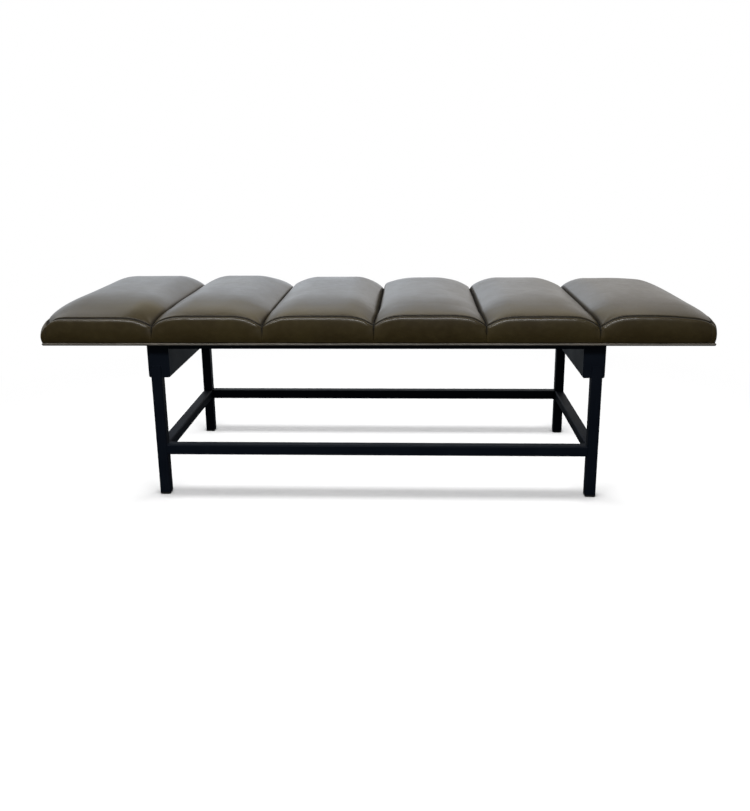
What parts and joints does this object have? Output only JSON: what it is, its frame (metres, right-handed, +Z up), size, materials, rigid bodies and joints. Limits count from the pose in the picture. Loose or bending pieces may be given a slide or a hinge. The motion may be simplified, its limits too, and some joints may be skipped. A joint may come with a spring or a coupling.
{
  "type": "bench",
  "caption": "Long backless bench: channelled padded leather seat with welted edge, overhanging both ends of a slim square-tube base with box stretchers and deep bearers.",
  "frame": {"origin": "on the floor, under the middle of the seat, level with the soles of the glides", "axes": "+X along the length of the seat, +Y from its front edge to its back edge, +Z up"},
  "size_m": [1.532, 0.508, 0.466],
  "materials": {
    "seat_leather": "satin",
    "welt_leather": "satin",
    "foam": "matte",
    "plywood": "matte",
    "dust_cloth": "matte",
    "black_steel": "satin",
    "glide_plastic": "matte",
    "fasteners": "satin"
  },
  "bodies": {
    "root": {"base_foam": "foam", "bearer_cap_back_left": "black_steel", "bearer_cap_back_right": "black_steel", "bearer_cap_front_left": "black_steel", "bearer_cap_front_right": "black_steel", "bearer_left": "black_steel", "bearer_right": "black_steel", "bolt_washers": "fasteners", "channel_cover_1": "seat_leather", "channel_cover_2": "seat_leather", "channel_cover_3": "seat_leather", "channel_cover_4": "seat_leather", "channel_cover_5": "seat_leather", "channel_cover_6": "seat_leather", "channel_foam_1": "foam", "channel_foam_2": "foam", "channel_foam_3": "foam", "channel_foam_4": "foam", "channel_foam_5": "foam", "channel_foam_6": "foam", "dust_cover": "dust_cloth", "glide_back_left": "glide_plastic", "glide_back_right": "glide_plastic", "glide_front_left": "glide_plastic", "glide_front_right": "glide_plastic", "leg_back_left": "black_steel", "leg_back_right": "black_steel", "leg_front_left": "black_steel", "leg_front_right": "black_steel", "seat_board": "plywood", "seat_bolts": "fasteners", "stretcher_back": "black_steel", "stretcher_front": "black_steel", "stretcher_left": "black_steel", "stretcher_right": "black_steel", "tee_nuts": "fasteners", "top_rail_back": "black_steel", "top_rail_front": "black_steel", "welt": "welt_leather"}
  },
  "joints": []
}
